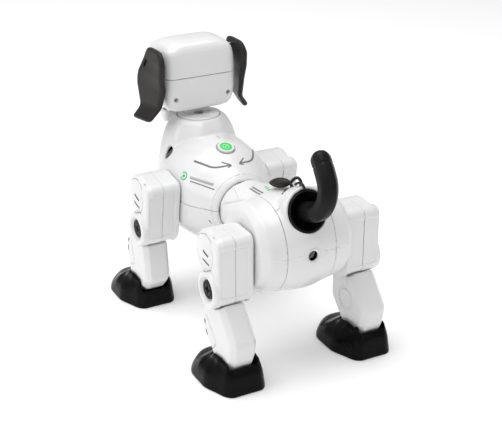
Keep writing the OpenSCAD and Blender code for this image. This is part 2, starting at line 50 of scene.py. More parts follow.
BODY_HALF = 50.0
WALL = 2.4
GAP = 0.16
SEAM_EDGE = 0.5
HIP = (88.0, 129.0)
SHOULDER = (-69.0, 127.92)
KNEE = (10.0, -33.54)
ANKLE = (16.0, -69.99)
FRONT_THIGH_LEAN = -8.1
FRONT_SHANK_LEAN = -32.0
FRONT_Z = 124.0
REAR_Z = 128.0
COLLAR_Y = -99.0
WAIST_R = 26.5
RIM_GROOVE_Y = -4.6
NECK_R = 22.3
FAR_IN = -99.0  # stands for deep inside a shape, where a cut has no effect
CUP = (0.0, 124.0, 166.0)
CUP_TILT = 19.0
CUP_R = 20.0
MIDDLE_HALF = 26.0
HEAD_SEAM = 238.0
TILT = (-108.0, 214.0)

# ---------------------------------------------------------------- distance shapes


def smin(a, b, k):
    """Smooth union: the two shapes blend over about k millimetres."""
    h = np.clip(0.5 + 0.5 * (b - a) / k, 0, 1)
    return b + (a - b) * h - k * h * (1 - h)


def smax(a, b, k):
    """Smooth intersection."""
    return -smin(-a, -b, k)


def rounded(points, steps=7):
    """An outline whose corners are arcs; each point is (u, v, corner radius)."""
    out = []
    n = len(points)
    for i, (x, y, r) in enumerate(points):
        here = np.array((x, y), float)
        before = np.array(points[i - 1][:2], float) - here
        after = np.array(points[(i + 1) % n][:2], float) - here
        before /= np.linalg.norm(before)
        after /= np.linalg.norm(after)
        half = math.acos(np.clip(before @ after, -1, 1)) / 2
        mid = before + after
        centre = here + mid / np.linalg.norm(mid) * r / math.sin(half)
        start = here + before * r / math.tan(half) - centre
        end = here + after * r / math.tan(half) - centre
        a0 = math.atan2(start[1], start[0])
        sweep = (math.atan2(end[1], end[0]) - a0 + math.pi) % (2 * math.pi) - math.pi
        for k in range(steps + 1):
            a = a0 + sweep * k / steps
            out.append((centre[0] + r * math.cos(a), centre[1] + r * math.sin(a)))
    return out


def smooth_line(points, steps=5):
    """Catmull-Rom curve through the points."""
    q = np.array(points, float)
    q = np.vstack([2 * q[0] - q[1], q, 2 * q[-1] - q[-2]])
    out = []
    for i in range(1, len(q) - 2):
        for t in np.arange(steps) / steps:
            out.append(0.5 * (2 * q[i] + (q[i + 1] - q[i - 1]) * t
                              + (2 * q[i - 1] - 5 * q[i] + 4 * q[i + 1] - q[i + 2]) * t ** 2
                              + (3 * q[i] - q[i - 1] - 3 * q[i + 1] + q[i + 2]) * t ** 3))
    out.append(q[-2])
    return np.array(out)


def flat(u, v, outline):
    """Signed distance in a plane to a closed outline."""
    best = np.full(u.shape, 1e12)
    sign = np.ones(u.shape)
    for i in range(len(outline)):
        ax, ay = outline[i]
        bx, by = outline[i - 1]
        ex, ey = bx - ax, by - ay
        length = ex * ex + ey * ey
        if length < 1e-12:
            continue
        wx, wy = u - ax, v - ay
        t = np.clip((wx * ex + wy * ey) / length, 0, 1)
        best = np.minimum(best, (wx - ex * t) ** 2 + (wy - ey * t) ** 2)
        above, below = v >= ay, v < by
        left = ex * wy > ey * wx
        flip = (above & below & left) | ~(above | below | left)
        sign = np.where(flip, -sign, sign)
    return sign * np.sqrt(best)


def meet(a, b, edge):
    """Intersection of two shapes with an edge of that radius."""
    a, b = a + edge, b + edge
    return np.minimum(np.maximum(a, b), 0) + np.hypot(np.maximum(a, 0), np.maximum(b, 0)) - edge


def between(value, low, high):
    """Signed distance to a range."""
    return np.abs(value - (low + high) / 2) - (high - low) / 2


def slab(p, outline, x0, x1, edge=0.3):
    """An outline in Y and Z, extruded along X."""
    return meet(flat(p[:, 1], p[:, 2], outline), between(p[:, 0], x0, x1), edge)


def rod_x(p, r, x0, x1, y=0.0, z=0.0, edge=0.3):
    """A rod along X on the axis through y and z; rod_y and rod_z are its fellows."""
    return meet(np.hypot(p[:, 1] - y, p[:, 2] - z) - r, between(p[:, 0], x0, x1), edge)


def rod_y(p, r, y0, y1, x=0.0, z=0.0, edge=0.3):
    return meet(np.hypot(p[:, 0] - x, p[:, 2] - z) - r, between(p[:, 1], y0, y1), edge)


def rod_z(p, r, z0, z1, x=0.0, y=0.0, edge=0.3):
    return meet(np.hypot(p[:, 0] - x, p[:, 1] - y) - r, between(p[:, 2], z0, z1), edge)


def brick(p, low, high, edge=0.3):
    """A box between two opposite corners, with rounded edges."""
    q = np.abs(p - (np.array(low) + high) / 2) - (np.array(high) - low) / 2 + edge
    return np.linalg.norm(np.maximum(q, 0), axis=1) + np.minimum(q.max(1), 0) - edge


def lathe(radial, axial, profile):
    """A solid of revolution; the profile is (place along the axis, radius)."""
    side = [(r, a) for a, r in profile]
    inner = -8  # past the axis, so that the axis is inside the outline
    return flat(radial, axial, side + [(inner, side[-1][1]), (inner, side[0][1])])


def turned(p, angle):
    """Points seen from a frame that is turned by angle about X."""
    c, s = math.cos(math.radians(angle)), math.sin(math.radians(angle))
    return np.stack([p[:, 0], p[:, 1] * c + p[:, 2] * s, p[:, 2] * c - p[:, 1] * s], 1)


def hollow(d):
    """The outer wall of a shape."""
    return np.maximum(d, -d - WALL)


# ---------------------------------------------------------------- meshing

EDGES = [(a, b) for a in range(8) for b in range(8) if a < b and bin(a ^ b).count("1") == 1]
CORNERS = np.array([[c >> 2 & 1, c >> 1 & 1, c & 1] for c in range(8)])


def slope(shape, p, h=0.05):
    """Unit gradient of a shape, and its length."""
    g = np.stack([shape(p + h * e) - shape(p - h * e) for e in np.eye(3)], 1) / (2 * h)
    size = np.maximum(np.linalg.norm(g, axis=1), 1e-6)
    return g / size[:, None], size


def skin(shape, low, high, step):
    """Points, quads and normals of the surface where shape is zero, by surface nets.

    The shape is sampled once per block of 4 x 4 x 4 cells, and finely only near the surface.
    """
    low = np.array(low, float) - 2 * step
    blocks = np.ceil((np.array(high, float) + 2 * step - low) / (4 * step)).astype(int)
    n = blocks * 4
    index = np.stack(np.meshgrid(*[np.arange(b) for b in blocks], indexing="ij"), -1).reshape(-1, 3)
    coarse = shape(low + step * (4 * index + 1.5))
    value = np.repeat(np.repeat(np.repeat(np.sign(coarse).reshape(blocks) * 99.0, 4, 0), 4, 1), 4, 2)
    near = index[np.abs(coarse) < 6.5 * step]
    inner = np.stack(np.meshgrid(*[np.arange(4)] * 3, indexing="ij"), -1).reshape(-1, 3)
    at = (near[:, None, :] * 4 + inner[None]).reshape(-1, 3)
    value[tuple(at.T)] = shape(low + step * at)
    inside = value < 0
    cell = tuple(k - 1 for k in n)
    count = np.zeros(cell, np.int8)
    for c in CORNERS:
        count += inside[c[0]:c[0] + cell[0], c[1]:c[1] + cell[1], c[2]:c[2] + cell[2]]
    active = np.argwhere((count > 0) & (count < 8))
    number = np.full(cell, -1, np.int64)
    number[tuple(active.T)] = np.arange(len(active))
    corner = np.stack([value[tuple((active + c).T)] for c in CORNERS], 1)
    total = np.zeros((len(active), 3))
    hits = np.zeros(len(active))
    for a, b in EDGES:
        va, vb = corner[:, a], corner[:, b]
        cut = (va < 0) != (vb < 0)
        t = np.where(cut, va / np.where(cut, va - vb, 1), 0)[:, None]
        total += np.where(cut[:, None], CORNERS[a] + t * (CORNERS[b] - CORNERS[a]), 0)
        hits += cut
    points = low + step * (active + total / hits[:, None])
    quads = []
    for axis in range(3):
        u, v = np.eye(3, dtype=int)[(axis + 1) % 3], np.eye(3, dtype=int)[(axis + 2) % 3]
        first = inside[tuple(slice(0, k - (i == axis)) for i, k in enumerate(n))]
        second = inside[tuple(slice(int(i == axis), k) for i, k in enumerate(n))]
        for spots, flip in ((first & ~second, False), (~first & second, True)):
            at = np.argwhere(spots)
            at = at[np.all((at - u - v >= 0) & (at < np.array(cell)), axis=1)]
            around = [at - u - v, at - v, at, at - u]
            if flip:
                around = around[::-1]
            quads.append(np.stack([number[tuple(k.T)] for k in around], 1))
    quads = np.vstack(quads)
    for _ in range(3):
        normal, size = slope(shape, points)
        points -= np.clip(shape(points) / size, -0.5 * step, 0.5 * step)[:, None] * normal
    return points, quads, slope(shape, points)[0]


def build(name, surface, material, body, nodes=(), slot=None, move=None, mirror=False):
    """Makes a Blender piece from points, faces and normals, and ties it to the frame."""
    points, faces, normals = surface
    points = np.array(points, float)
    normals = None if normals is None else np.array(normals, float)
    if move is not None:
        points, normals = move(points), None if normals is None else move(normals, True)
    if mirror:
        points = points * (-1, 1, 1)
        normals = None if normals is None else normals * (-1, 1, 1)
        faces = [f[::-1] for f in faces] if isinstance(faces, list) else faces[:, ::-1]
    mesh = bpy.data.meshes.new(name)
    faces = faces if isinstance(faces, list) else faces.tolist()
    mesh.from_pydata((points * MM).tolist(), [], faces)
    mesh.shade_smooth()
    if normals is not None:
        mesh.normals_split_custom_set_from_vertices(normals.tolist())
    mesh.materials.append(material)
    piece = bpy.data.objects.new(name, mesh)
    bpy.context.scene.collection.objects.link(piece)
    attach(piece, body)
    if nodes:
        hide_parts(*nodes)
    return piece


# ---------------------------------------------------------------- prints on the shells

LIFT, SUNK = 0.12, 0.2


def settle(shape, points):
    """Moves points onto a shape; gives them and the normals there."""
    points = np.array(points, float)
    for _ in range(5):
        normal, size = slope(shape, points)
        points = points - (shape(points) / size)[:, None] * normal
    return points, slope(shape, points)[0]


def strip(first, second, first_normal, second_normal):
    """A thin closed strip between two lines of points that lie on a shape."""
    rows = [first + LIFT * first_normal, second + LIFT * second_normal,
            second - SUNK * second_normal, first - SUNK * first_normal]
    points = np.stack(rows, 1).reshape(-1, 3)
    last = len(points) - 1
    faces = [[0, 1, 2, 3], [last, last - 1, last - 2, last - 3]]
    for i in range(0, len(points) - 4, 4):
        for k in range(4):
            n = (k + 1) % 4
            faces.append([i + k, i + 4 + k, i + 4 + n, i + n])
    return points, faces, None


def stroke(shape, path, width, tip=1.0):
    """A thin printed strip along a path; tip is its width at the far end, as a share."""
    path = smooth_line(path, 8) if len(path) > 2 else np.linspace(path[0], path[1], 9)
    path, normal = settle(shape, path)
    along = np.gradient(path, axis=0)
    across = np.cross(normal, along)
    across /= np.linalg.norm(across, axis=1)[:, None]
    across *= (width / 2 * np.linspace(1, tip, len(path)))[:, None]
    return strip(path + across, path - across, normal, normal)


def disc(shape, centre, outer, inner=0.05, start=0.0, end=360.0):
    """A thin printed ring, or an arc of one."""
    centre, normal = settle(shape, [centre])
    u = np.cross(normal[0], (0, 0, 1))
    u /= np.linalg.norm(u)
    v = np.cross(normal[0], u)
    a = np.radians(np.linspace(start, end, 41))
    way = np.outer(np.cos(a), u) + np.outer(np.sin(a), v)
    (near, near_normal), (rim, rim_normal) = [settle(shape, centre + r * way) for r in (inner, outer)]
    return strip(near, rim, near_normal, rim_normal)


# ---------------------------------------------------------------- materials

TONE_SIZE, GRAIN_SIZE, ROUGH_SPREAD = 38.0, 900.0, 0.06

def material(name, colour, rough, metal=0.0, coat=0.0, grain=0.02, tone=0.03, emit=0.0,
             specular=0.5):
    """Moulded or plated finish: uneven tone and roughness, and a fine grain."""
    m = bpy.data.materials.new(name)
    m.use_nodes = True
    nodes, links = m.node_tree.nodes, m.node_tree.links
    shader = nodes["Principled BSDF"]
    place = nodes.new("ShaderNodeTexCoord")
    wide = nodes.new("ShaderNodeTexNoise")
    wide.inputs["Scale"].default_value = TONE_SIZE
    wide.inputs["Detail"].default_value = 4.0
    links.new(place.outputs["Object"], wide.inputs["Vector"])
    ramp = nodes.new("ShaderNodeValToRGB")
    ramp.color_ramp.elements[0].position = 0.3
    ramp.color_ramp.elements[1].position = 0.7
    ramp.color_ramp.elements[0].color = (*[c * (1 - tone) for c in colour], 1)
    ramp.color_ramp.elements[1].color = (*[min(1, c * (1 + tone)) for c in colour], 1)
    links.new(wide.outputs["Fac"], ramp.inputs["Fac"])
    links.new(ramp.outputs["Color"], shader.inputs["Base Color"])
    spread = nodes.new("ShaderNodeMapRange")
    spread.inputs["To Min"].default_value = max(0.02, rough - ROUGH_SPREAD)
    spread.inputs["To Max"].default_value = rough + ROUGH_SPREAD
    links.new(wide.outputs["Fac"], spread.inputs["Value"])
    links.new(spread.outputs["Result"], shader.inputs["Roughness"])
    fine = nodes.new("ShaderNodeTexNoise")
    fine.inputs["Scale"].default_value = GRAIN_SIZE
    fine.inputs["Detail"].default_value = 2.0
    links.new(place.outputs["Object"], fine.inputs["Vector"])
    bump = nodes.new("ShaderNodeBump")
    bump.inputs["Strength"].default_value = grain
    bump.inputs["Distance"].default_value = 0.0005
    links.new(fine.outputs["Fac"], bump.inputs["Height"])
    links.new(bump.outputs["Normal"], shader.inputs["Normal"])
    shader.inputs["Metallic"].default_value = metal
    shader.inputs["Coat Weight"].default_value = coat
    shader.inputs["Coat Roughness"].default_value = 0.12
    shader.inputs["Specular IOR Level"].default_value = specular
    # Emission: a real lamp for the eye lights, an evenly bright floor, and painted glow on the green
    # button, its ring and its dot
    if emit:
        shader.inputs["Emission Color"].default_value = (*colour, 1)
        shader.inputs["Emission Strength"].default_value = emit
    return m


white = material("white_abs", (0.80, 0.80, 0.805), 0.30, coat=0.35, grain=0.01, tone=0.008)
shoe_black = material("shoe_black", (0.003, 0.003, 0.0034), 0.27, grain=0.06, specular=0.09)
soft_black = material("soft_black", (0.024, 0.021, 0.020), 0.38, grain=0.12, tone=0.12,
                      specular=0.2)
tail_black = material("tail_black", (0.009, 0.008, 0.008), 0.34, grain=0.1, tone=0.1,
                      specular=0.16)
gloss_black = material("gloss_black", (0.008, 0.008, 0.01), 0.16, grain=0.01, specular=0.4)
window_black = material("window_black", (0.055, 0.05, 0.05), 0.3, grain=0.02)
screw_black = material("screw_black", (0.006, 0.006, 0.006), 0.4, grain=0.1, specular=0.15)
# The green button and the pale ring and dot on it emit a little light: painted glow, as there is no lamp
# in the button
green_painted_glow = material("button_green", (0.035, 0.62, 0.12), 0.3, coat=0.3, grain=0.01, emit=0.12)
pale_green_painted_glow = material("pale_green_painted_glow", (0.35, 0.85, 0.42), 0.3, coat=0.3, grain=0.01, emit=0.1)
grey_ink = material("grey_ink", (0.19, 0.19, 0.2), 0.5, grain=0.02)
pale_ink = material("pale_ink", (0.42, 0.42, 0.43), 0.5, grain=0.02)
dark_ink = material("dark_ink", (0.045, 0.045, 0.045), 0.5, grain=0.02)
green_ink = material("green_ink", (0.04, 0.58, 0.11), 0.5, grain=0.02)
pink = material("tongue_pink", (0.78, 0.30, 0.36), 0.42, grain=0.1)
blue_light = material("eye_blue", (0.05, 0.35, 0.95), 0.2, coat=0.5, emit=1.2)
steel = material("plated_steel", (0.55, 0.55, 0.57), 0.3, metal=1.0, grain=0.05)
gear_grey = material("gearbox_grey", (0.09, 0.09, 0.1), 0.5, grain=0.1)
battery_blue = material("battery_wrap", (0.05, 0.12, 0.5), 0.35, grain=0.03)
board_green = material("solder_mask", (0.02, 0.2, 0.06), 0.35, coat=0.3, grain=0.05)
cone_black = material("speaker_cone", (0.03, 0.03, 0.03), 0.7, grain=0.3)

# ---------------------------------------------------------------- rear body

REAR_LINE = smooth_line([(8, 27), (25, 30.5), (43, 35.5), (63, 42.5), (82, 47.5), (97, 49), (110, 47),
                         (122, 41), (131, 30), (136, 16), (137, 6)])
NECK_LINE = smooth_line([(-6, 20), (-4, 24.5), (-1, 26.5), (3, 26.9), (16, 28.3), (34, 31), (50, 31),
                         (60, 20)])
HIP_SECTION = rounded([(46.4, -9, 1), (46.2, 24, 60), (43.5, 42, 8), (37, BODY_HALF, 4),
                       (-9, BODY_HALF, 1), (-9, -9, 1)], 4)
RUMP_HOLE_Z = 126.0
RUMP_BACK = 100.0  # what is printed or raised on the rump lies behind this
BARREL = (90.0, 125.0)
SADDLE_Z, SADDLE_Y = 150.0, 112.0
SHAFT_ROOM = 5.0


def on_cup(p):
    """Points seen from the tail cup: +Z points out of it."""
    return turned(p - CUP, CUP_TILT - 90)


def rear_solid(p):
    """Outer form of the rear body: a turned body, a flat-sided barrel, the neck and the cup's ring."""
    body = lathe(np.hypot(p[:, 0], p[:, 2] - REAR_Z), p[:, 1], REAR_LINE)
    neck = lathe(np.hypot(p[:, 0], p[:, 2] - FRONT_Z), p[:, 1], NECK_LINE)
    radial = np.hypot(p[:, 1] - BARREL[0], p[:, 2] - BARREL[1])
    hips = flat(radial, np.abs(p[:, 0]), HIP_SECTION)
    body = smin(smin(body, hips, 5), neck, 4)
    body = meet(body, np.abs(p[:, 0]) - BODY_HALF, 2.0)
    q = on_cup(p)
    ring = meet(np.hypot(q[:, 0], q[:, 1]) - CUP_R - 3.2, between(q[:, 2], -16, 1.6), 1.2)
    return smin(body, ring, 2.5)


def rear_shell(p):
    """Wall of the rear body with its screw recess, the raised ring and wings, and its bores."""
    d = rear_solid(p)
    q = on_cup(p)
    cup = np.hypot(q[:, 0], q[:, 1]) - CUP_R - 0.4
    cup = np.maximum(cup, -30 - q[:, 2])
    hole = rod_y(p, 4.8, 118, 200, 0, RUMP_HOLE_Z, 0.3)
    lip = np.abs(np.hypot(p[:, 0], p[:, 2] - RUMP_HOLE_Z) - 7.2) - 0.5
    lip = np.maximum(lip, RUMP_BACK - p[:, 1])
    wing = np.abs(p[:, 2] - RUMP_HOLE_Z - 0.05 * np.abs(p[:, 0])) - 2.6 * np.clip(
        1 - (np.abs(p[:, 0]) - 9) / 14, 0, 1)
    wing = np.maximum(np.maximum(wing, 9 - np.abs(p[:, 0])), RUMP_BACK - p[:, 1])
    d = smin(d, np.maximum(d - 0.35, lip), 0.5)
    d = smin(d, np.maximum(d - 0.25, wing), 0.6)
    d = hollow(d)
    post = meet(np.hypot(p[:, 0], p[:, 2] - RUMP_HOLE_Z) - 7, between(p[:, 1], 104, 130), 0.3)
    d = np.minimum(d, post)
    d = smax(d, -cup, 0.5)
    d = smax(d, -hole, 1.8)
    return smax(d, SHAFT_ROOM - np.hypot(p[:, 1] - HIP[0], p[:, 2] - HIP[1]), 0.3)


def saddle_zone(p):
    """The part of the middle covers that the saddle takes."""
    return np.maximum(SADDLE_Z - p[:, 2], p[:, 1] - SADDLE_Y)


def saddle(p):
    d = smax(rear_shell(p), saddle_zone(p) + GAP, SEAM_EDGE)
    return smax(d, np.abs(p[:, 0]) - MIDDLE_HALF + GAP, SEAM_EDGE)


def rump(p):
    d = smax(rear_shell(p), GAP - saddle_zone(p), SEAM_EDGE)
    return smax(d, np.abs(p[:, 0]) - MIDDLE_HALF + GAP, SEAM_EDGE)


def hip_cover(p):
    return smax(rear_shell(p), MIDDLE_HALF + GAP - p[:, 0], SEAM_EDGE)


STEP = 1.0
build("saddle_cover", skin(saddle, (-28, -8, 148), (28, 114, 186), STEP), white, "rear_body",
      ["saddle_cover"], "white_shell")
build("rump_cover", skin(rump, (-28, -8, 76), (28, 140, 188), STEP), white, "rear_body",
      ["rump_cover"], "white_shell")
side = skin(hip_cover, (25, -8, 76), (51, 140, 176), STEP)
build("left_hip_cover", side, white, "rear_body", ["left_hip_cover"], "white_shell")
build("right_hip_cover", side, white, "rear_body", ["right_hip_cover"], "white_shell", mirror=True)


CUP_SECTION = rounded([(CUP_R - 5, -20, 0.5), (CUP_R, -14, 1), (CUP_R, 3.6, 0.8), (CUP_R - 1.6, 3.6, 0.6),
                       (CUP_R - 6.5, -9, 2), (9.6, -13.5, 1), (4.7, -14, 0.5), (4.7, -20, 0.3)])


def socket(p):
    """Cone-shaped cup that the tail turns in."""
    q = on_cup(p)
    return flat(np.hypot(q[:, 0], q[:, 1]), q[:, 2], CUP_SECTION)


build("tail_socket", skin(socket, (-21, 98, 138), (21, 138, 192), 0.8), tail_black, "rear_body",
      ["tail_socket"], "black_plastic")

# ---------------------------------------------------------------- front body

FRONT_LINE = smooth_line([(0, 29.5), (-4, 33), (-13, 38.6), (-28, 48), (-42, 53.5), (-60, 56), (-80, 56),
                          (-98, 52), (-113, 44), (-125, 30), (-130, 14), (-131, 5)])
COLLAR = smooth_line([(136, 45.5), (150, 43), (162, 41), (178, 36.5), (188, 31.5), (194, 26.5)])
COLLAR_Z, COLLAR_R = COLLAR[:, 0], COLLAR[:, 1]
BUTTON = (0.0, -37.0, 175.6)
BUTTON_TILT = 19.0
SENSOR = (38.9, -88.0, 159.1)
SENSOR_YAW, SENSOR_PITCH, SENSOR_R = 50.0, 14.0, 7.0
BUTTON_R = 8.5


def collar_solid(p):
    """Eight-sided frustum with soft corners around the neck."""
    x, y = np.abs(p[:, 0]), p[:, 1] - COLLAR_Y
    plan = smax(smax(x, np.abs(y), 3), (x + np.abs(y)) * 0.7071 * 1.02, 3) * 1.05
    wide = np.interp(p[:, 2], COLLAR_Z, COLLAR_R)
    side = (plan - wide) * 0.93
    return meet(side, between(p[:, 2], 120, 194), 1.5)


def front_solid(p):
    """Outer form of the front body and its collar."""
    barrel = lathe(np.hypot(p[:, 0], p[:, 2] - FRONT_Z), p[:, 1], FRONT_LINE)
    d = smin(barrel, collar_solid(p), 3.5)
    return meet(d, np.abs(p[:, 0]) - BODY_HALF, 3.0)


def at_button(p):
    return turned(p - BUTTON, -BUTTON_TILT)


def at_sensor(p):
    """Points seen from the side window on their side: +Z points out of it."""
    q = p - SENSOR
    q[:, 0] = np.abs(p[:, 0]) - SENSOR[0]
    a = math.radians(SENSOR_YAW)
    q = np.stack([q[:, 0] * math.cos(a) - q[:, 2] * math.sin(a), q[:, 1],
                  q[:, 0] * math.sin(a) + q[:, 2] * math.cos(a)], 1)
    return turned(q, SENSOR_PITCH)


def front_shell(p):
    """Wall of the front body with its rim, its openings and its bores."""
    d = hollow(front_solid(p))
    ring = np.hypot(p[:, 0], p[:, 2] - FRONT_Z)
    d = np.minimum(d, meet(np.maximum(front_solid(p) + 1, 26 - ring), between(p[:, 1], -14, 0), 0.3))
    d = smax(d, np.where(p[:, 1] > -9, WAIST_R + 0.45 - ring, FAR_IN), 0.5)
    groove = np.maximum(np.abs(p[:, 1] - RIM_GROOVE_Y) - 0.3, -front_solid(p) - 0.6)
    d = smax(d, -groove, 0.4)
    post = np.hypot(p[:, 0], p[:, 1] - COLLAR_Y)
    d = smax(d, np.where(p[:, 2] > 170, NECK_R + 0.6 - post, FAR_IN), 0.8)
    q = at_button(p)
    d = smax(d, np.where(q[:, 2] > -9, BUTTON_R + 0.3 - np.hypot(q[:, 0], q[:, 1]), FAR_IN), 0.5)
    q = at_sensor(p)
    room = np.where(np.abs(q[:, 2]) < 9, SENSOR_R + 0.15 - np.hypot(q[:, 0], q[:, 1]), FAR_IN)
    d = smax(d, room, 0.4)
    d = smax(d, SHAFT_ROOM - np.hypot(p[:, 1] - SHOULDER[0], p[:, 2] - SHOULDER[1]), 0.3)
    return np.maximum(d, -brick(p, (-4, -62, 60), (4, -50, 90), 0.5))


def chest_top(p):
    return smax(front_shell(p), FRONT_Z + GAP - p[:, 2], SEAM_EDGE)


def chest_bottom(p):
    return smax(front_shell(p), p[:, 2] - FRONT_Z + GAP, SEAM_EDGE)


build("chest_top_shell", skin(chest_top, (-51, -146, 122), (51, 1, 196), STEP), white, "front_body",
      ["chest_top_shell"], "white_shell")
build("chest_bottom_shell", skin(chest_bottom, (-51, -146, 66), (51, 1, 126), STEP), white, "front_body",
      ["chest_bottom_shell"], "white_shell")


def window(p):
    """Dark side window with a slightly domed face."""
    q = at_sensor(p)
    radial = np.hypot(q[:, 0], q[:, 1])
    dome = 0.9 - 0.008 * radial ** 2
    return np.maximum(meet(radial - SENSOR_R + 0.05, between(q[:, 2], -3, dome), 0.4), -p[:, 0])


eye = skin(window, (28, -98, 148), (50, -78, 170), 0.6)
build("sensor_window_left", eye, window_black, "front_body", ["sensor_windows"], "black_plastic")
build("sensor_window_right", eye, window_black, "front_body", [], "black_plastic", mirror=True)


def button_face(p):
    """Green disc on the button's white rim."""
    q = at_button(p)
    radial = np.hypot(q[:, 0], q[:, 1])
    return meet(radial - 6.6, np.maximum(q[:, 2] - 1.75 + 0.006 * radial ** 2, 0.4 - q[:, 2]), 0.3)


# The button's green face, ring and dot carry painted glow from their emitting materials
build("touch_button_face", skin(button_face, (-7, -46, 171), (7, -28, 182), 0.5), green_painted_glow,
      "touch_button", [], "button_green")
build("touch_button_ring", disc(button_face, (0, -36.4, 177.2), 3.6, 2.6), pale_green_painted_glow, "touch_button",
      [], "button_green")
build("touch_button_dot", disc(button_face, (0, -36.4, 177.2), 1.2), pale_green_painted_glow, "touch_button", [],
      "button_green")
build("button_ring_print", disc(front_solid, (0, -36.6, 176.7), 10.3, 9.7), grey_ink, "front_body")
build("button_dash_print", stroke(front_solid, [(-2.2, -61.5, 180), (-2.6, -56, 179.6)], 1.1),
      pale_ink, "front_body")

ARROW = [(34, -42, 165.5), (28.5, -31, 164.5), (23.5, -24, 163), (18, -20, 163), (11, -17.5, 164),
         (6, -16.5, 164.5)]
BARB = [(12.5, -22.5, 166.5), (9, -19.5, 165.5), (5, -16, 164.3), (9, -15.2, 162.5)]
for hand, sign in (("left", 1), ("right", -1)):
    way = (sign, 1, 1)
    build(f"arrow_{hand}_print", stroke(front_solid, np.array(ARROW) * way, 2.3, 0.7), grey_ink,
          "front_body")
    build(f"arrow_head_{hand}_print", stroke(front_solid, np.array(BARB) * way, 1.4), grey_ink,
          "front_body")
MARK = (45.6, -42, 151.4)
build("mark_ring_print", disc(front_solid, MARK, 4.6, 3.3, 20, 320), green_ink, "front_body")
build("mark_dot_print", disc(front_solid, MARK, 1.7), green_ink, "front_body")
build("wide_bar_print", stroke(front_solid, [(42.5, -34, 152), (35, -20, 151), (28, -11, 149.5)], 2.6),
      pale_ink, "front_body")
build("thin_bar_print", stroke(front_solid, [(43.5, -32, 148.8), (36, -18, 147.5), (28, -8, 145)], 1.2),
      grey_ink, "front_body")
build("chest_tick_print", stroke(front_solid, [(34, -9, 112.5), (31.8, -8, 108.5)], 1.8, 0.3), grey_ink,
      "front_body")
for number, shift in enumerate((0.0, 3.4)):
    build(f"saddle_bar_{number + 1}_print",
          stroke(rear_solid, [(9 + shift, 36, 161), (15 + shift, 58, 166), (20 + shift, 78, 170)], 1.6),
          grey_ink, "rear_body")
for number, spot in enumerate(((6.5, 60), (8.5, 68), (11, 76))):
    build(f"saddle_icon_{number + 1}_print",
          stroke(rear_solid, [(*spot, 170), (spot[0] + 3.2, spot[1] + 1.5, 170)], 3.0), green_ink,
          "rear_body")

# ---------------------------------------------------------------- head

HEAD_SIDE = rounded([(-89.5, 198, 10), (-86, 222, 30), (-86, 248, 30), (-91, 276.5, 20),
                     (-134, 276.5, 36), (-149, 257, 24), (-149, 205, 16)])
HEAD_FRONT = rounded([(-32, 197.5, 17), (32, 197.5, 17), (43.6, 220, 26), (44.2, 243, 40), (37, 277, 27),
                      (-37, 277, 27), (-44.2, 243, 40), (-43.6, 220, 26)])
HEAD_PLAN = rounded([(-42.5, -85.5, 16), (42.5, -85.5, 16), (43.5, -149.5, 24), (-43.5, -149.5, 24)])
MUZZLE = rounded([(-118, 189, 4), (-118, 226, 4), (-150, 224, 12), (-156, 192, 9)])
JAW = rounded([(-141, 172, 6), (-141, 187.3, 1.5), (-155, 187.3, 1.5), (-154, 174, 5)])
NECK_ROOM = [(140, 50), (168, 45), (182, 41), (190, 37.5), (194.5, 31), (197.4, 27)]
EAR_SIDE = rounded([(-96, 274.5, 14), (-80, 262, 17), (-84, 226, 30), (-98, 190, 10), (-127, 187, 6),
                    (-124, 204, 10), (-131, 238, 26), (-120, 271, 17)])
EAR_EDGE = rounded([(43.6, 268, 2), (48.5, 270, 3), (53.5, 243, 30), (53.5, 207, 12), (62, 195, 3),
                    (58, 190, 3), (47.5, 207, 12), (47, 238, 20), (44, 256, 4)])
EAR_TWIST = 0.22
TILT_BLOCK = rounded([(TILT[0] - 7, TILT[1] - 7, 2), (TILT[0] + 7, TILT[1] - 7, 2),
                      (TILT[0] + 7, TILT[1] + 7, 2), (TILT[0] - 7, TILT[1] + 7, 2)])
HEAD_SCREW = (30.0, 216.0)
VISOR_HALF, VISOR_LOW, VISOR_HIGH, VISOR_BACK = 34.0, 222.0, 258.0, -140.0
EAR_PIN = (-108.0, 262.0)


def skull(p):
    """The head's box, with soft edges all round."""
    d = smax(flat(p[:, 1], p[:, 2], HEAD_SIDE), flat(p[:, 0], p[:, 2], HEAD_FRONT), 9)
    return smax(d, flat(p[:, 0], p[:, 1], HEAD_PLAN), 7)


def head_solid(p):
    return smin(skull(p), slab(p, MUZZLE, -24, 24, 7), 6)


def visor_room(p, t):
    """Space of the dark face panel, grown by t."""
    return brick(p, (-VISOR_HALF - t, -170, VISOR_LOW - t),
                 (VISOR_HALF + t, VISOR_BACK, VISOR_HIGH + t), 4)


def head_shell(p):
    """Wall of the head with its screw bosses, openings and hinge pins."""
    d = hollow(head_solid(p))
    q = np.stack([np.abs(p[:, 0]), p[:, 1], p[:, 2]], 1)
    boss = rod_y(q, 4.2, -104, -89.5, *HEAD_SCREW)
    d = np.minimum(d, boss)
    d = smax(d, -rod_y(q, 2.3, -96, -80, *HEAD_SCREW), 0.8)
    d = np.maximum(d, -visor_room(p, 0))
    room = lathe(np.hypot(p[:, 0], p[:, 1] - COLLAR_Y), p[:, 2], NECK_ROOM)
    d = smax(d, -room, 1.0)
    d = np.maximum(d, -brick(p, (-14, -160, 180), (14, -118, 194), 1))
    d = np.maximum(d, -brick(p, (-14.5, TILT[0] - 9.5, 190), (14.5, TILT[0] + 12, 206), 0.5))
    pivot = meet(flat(q[:, 1], q[:, 2], TILT_BLOCK), between(q[:, 0], 13.4, 39), 0.3)
    d = np.minimum(d, np.maximum(pivot, head_solid(p) + 1))
    pin = rod_x(q, 2.95, 9.5, 16, *TILT)
    return np.minimum(d, pin)


def head_top(p):
    return smax(head_shell(p), HEAD_SEAM + GAP - p[:, 2], SEAM_EDGE)


def head_bottom(p):
    return smax(head_shell(p), p[:, 2] - HEAD_SEAM + GAP, SEAM_EDGE)


